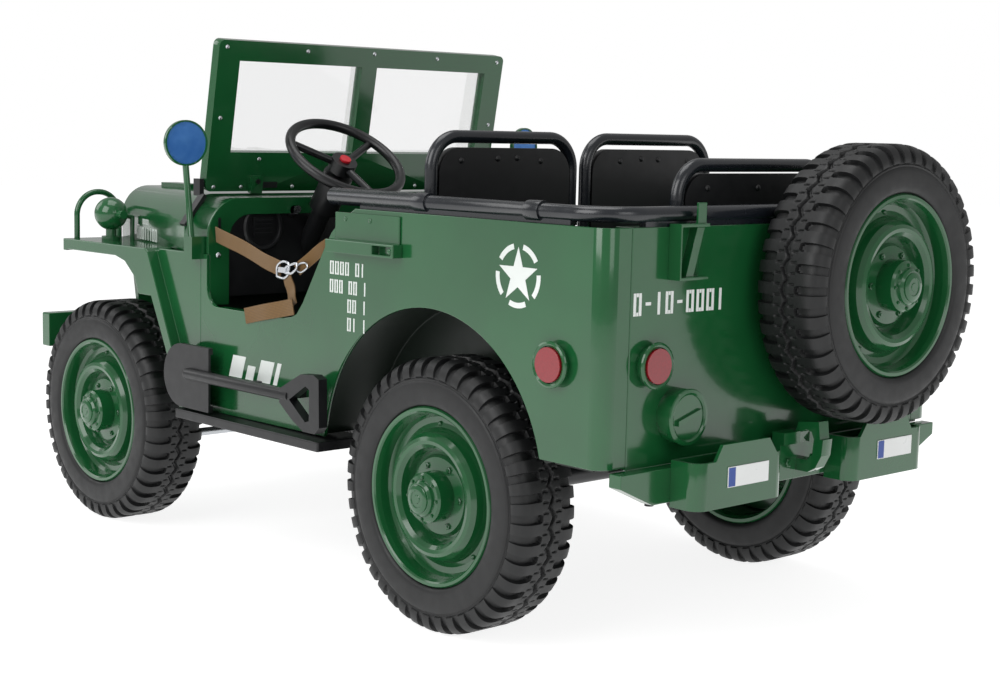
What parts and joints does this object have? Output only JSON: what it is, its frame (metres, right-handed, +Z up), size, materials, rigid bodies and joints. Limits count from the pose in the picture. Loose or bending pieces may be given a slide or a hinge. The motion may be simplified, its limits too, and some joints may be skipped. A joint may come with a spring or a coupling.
{
  "type": "child's ride-on military 4x4 car",
  "caption": "Battery ride-on toy car for children styled as an open military 4x4, with steered front wheels, a folding windscreen, seats and a spare wheel.",
  "frame": {"origin": "centre of the overall box, on the ground", "axes": "-Y forward, +X the car's left, +Z up"},
  "size_m": [0.7966, 1.539, 0.809],
  "materials": {
    "green_moulding": "glossy dark green moulded plastic",
    "dark_green_moulding": "dark green moulded plastic",
    "black_moulding": "satin black moulded plastic",
    "axle_steel": "black painted steel",
    "motor_casing": "black gear casing",
    "battery_case": "grey battery case",
    "rail_tube": "gunmetal painted tube",
    "clear_screen": "clear sheet",
    "lamp_clear": "clear lamp moulding",
    "red_button": "red button",
    "red_lens": "red lamp lens",
    "mirror_blue": "blue tinted mirror sheet",
    "webbing": "tan webbing",
    "bright_steel": "zinc plated steel",
    "plate_white": "white plate",
    "tyre": "black rubber-look tyre"
  },
  "bodies": {
    "car": {"chassis_frame": "axle_steel", "front_axle": "axle_steel", "rear_axle": "axle_steel", "rear_motors": "motor_casing", "leaf_springs": "axle_steel", "battery": "battery_case", "cabin_tub": "dark_green_moulding", "arch_liners": "dark_green_moulding", "dashboard": "black_moulding", "cowl": "green_moulding", "side_panels": "green_moulding", "tail_panel": "green_moulding", "bonnet": "green_moulding", "grille": "green_moulding", "headlights": "lamp_clear", "front_fenders": "green_moulding", "front_bumper": "green_moulding", "side_steps": "black_moulding", "body_rail": "rail_tube", "front_seats": "black_moulding", "front_seat_frames": "rail_tube", "rear_seat": "black_moulding", "rear_seat_frame": "rail_tube", "hinge_brackets": "black_moulding", "steering_column": "black_moulding", "mirrors": "green_moulding", "mirror_glass": "mirror_blue", "fender_lamp": "green_moulding", "lamp_guard": "green_moulding", "lamp_rings": "green_moulding", "lamp_lenses": "red_lens", "side_handles": "green_moulding", "shovel": "black_moulding", "door_strap": "webbing", "strap_buckle": "bright_steel", "rear_crossbar": "green_moulding", "bumperettes": "green_moulding", "blank_plates": "plate_white", "tow_eye": "green_moulding", "socket_drum": "green_moulding", "rear_bracket": "green_moulding", "spare_carrier": "green_moulding", "spare_rim": "green_moulding", "spare_tyre": "tyre"},
    "knuckle_left": {"knuckle_left": "axle_steel"},
    "knuckle_right": {"knuckle_right": "axle_steel"},
    "tie_rod": {"tie_rod": "bright_steel"},
    "wheel_front_left": {"rim_front_left": "green_moulding", "tyre_front_left": "tyre"},
    "wheel_front_right": {"rim_front_right": "green_moulding", "tyre_front_right": "tyre"},
    "wheel_rear_left": {"rim_rear_left": "green_moulding", "tyre_rear_left": "tyre"},
    "wheel_rear_right": {"rim_rear_right": "green_moulding", "tyre_rear_right": "tyre"},
    "steering_wheel": {"steering_wheel": "black_moulding", "horn_button": "red_button"},
    "windscreen": {"windscreen_frame": "green_moulding", "windscreen_panes": "clear_screen"}
  },
  "joints": [
    {"name": "steer_left", "type": "hinge", "parent": "car", "child": "knuckle_left", "pos_m": [0.232, -0.533, 0.1865], "axis": [0, 0, 1], "range_deg": [-22, 22]},
    {"name": "steer_right", "type": "hinge", "parent": "car", "child": "knuckle_right", "pos_m": [-0.232, -0.533, 0.1865], "axis": [0, 0, 1], "range_deg": [-22, 22]},
    {"name": "tie_rod_pivot", "type": "hinge", "parent": "knuckle_left", "child": "tie_rod", "pos_m": [0.232, -0.463, 0.1425], "axis": [0, 0, 1], "range_deg": [-22, 22]},
    {"name": "steering_wheel_turn", "type": "hinge", "parent": "car", "child": "steering_wheel", "pos_m": [0.15, -0.128, 0.625], "axis": [0, 0.5736, 0.8192], "range_deg": [-35.2, 35.2]},
    {"name": "windscreen_fold", "type": "hinge", "parent": "car", "child": "windscreen", "pos_m": [0, -0.303, 0.578], "axis": [1, 0, 0], "range_deg": [0, 95]},
    {"name": "wheel_front_left_roll", "type": "hinge", "parent": "knuckle_left", "child": "wheel_front_left", "pos_m": [0.332, -0.533, 0.1865], "axis": [1, 0, 0], "continuous": true},
    {"name": "wheel_front_right_roll", "type": "hinge", "parent": "knuckle_right", "child": "wheel_front_right", "pos_m": [-0.332, -0.533, 0.1865], "axis": [1, 0, 0], "continuous": true},
    {"name": "wheel_rear_left_roll", "type": "hinge", "parent": "car", "child": "wheel_rear_left", "pos_m": [0.33, 0.337, 0.1865], "axis": [1, 0, 0], "continuous": true},
    {"name": "wheel_rear_right_roll", "type": "hinge", "parent": "car", "child": "wheel_rear_right", "pos_m": [-0.33, 0.337, 0.1865], "axis": [1, 0, 0], "continuous": true}
  ],
  "couplings": [
    {"joint": "steer_right", "follows": "steer_left", "ratio": 1},
    {"joint": "tie_rod_pivot", "follows": "steer_left", "ratio": -1},
    {"joint": "steering_wheel_turn", "follows": "steer_left", "ratio": 1.6}
  ]
}
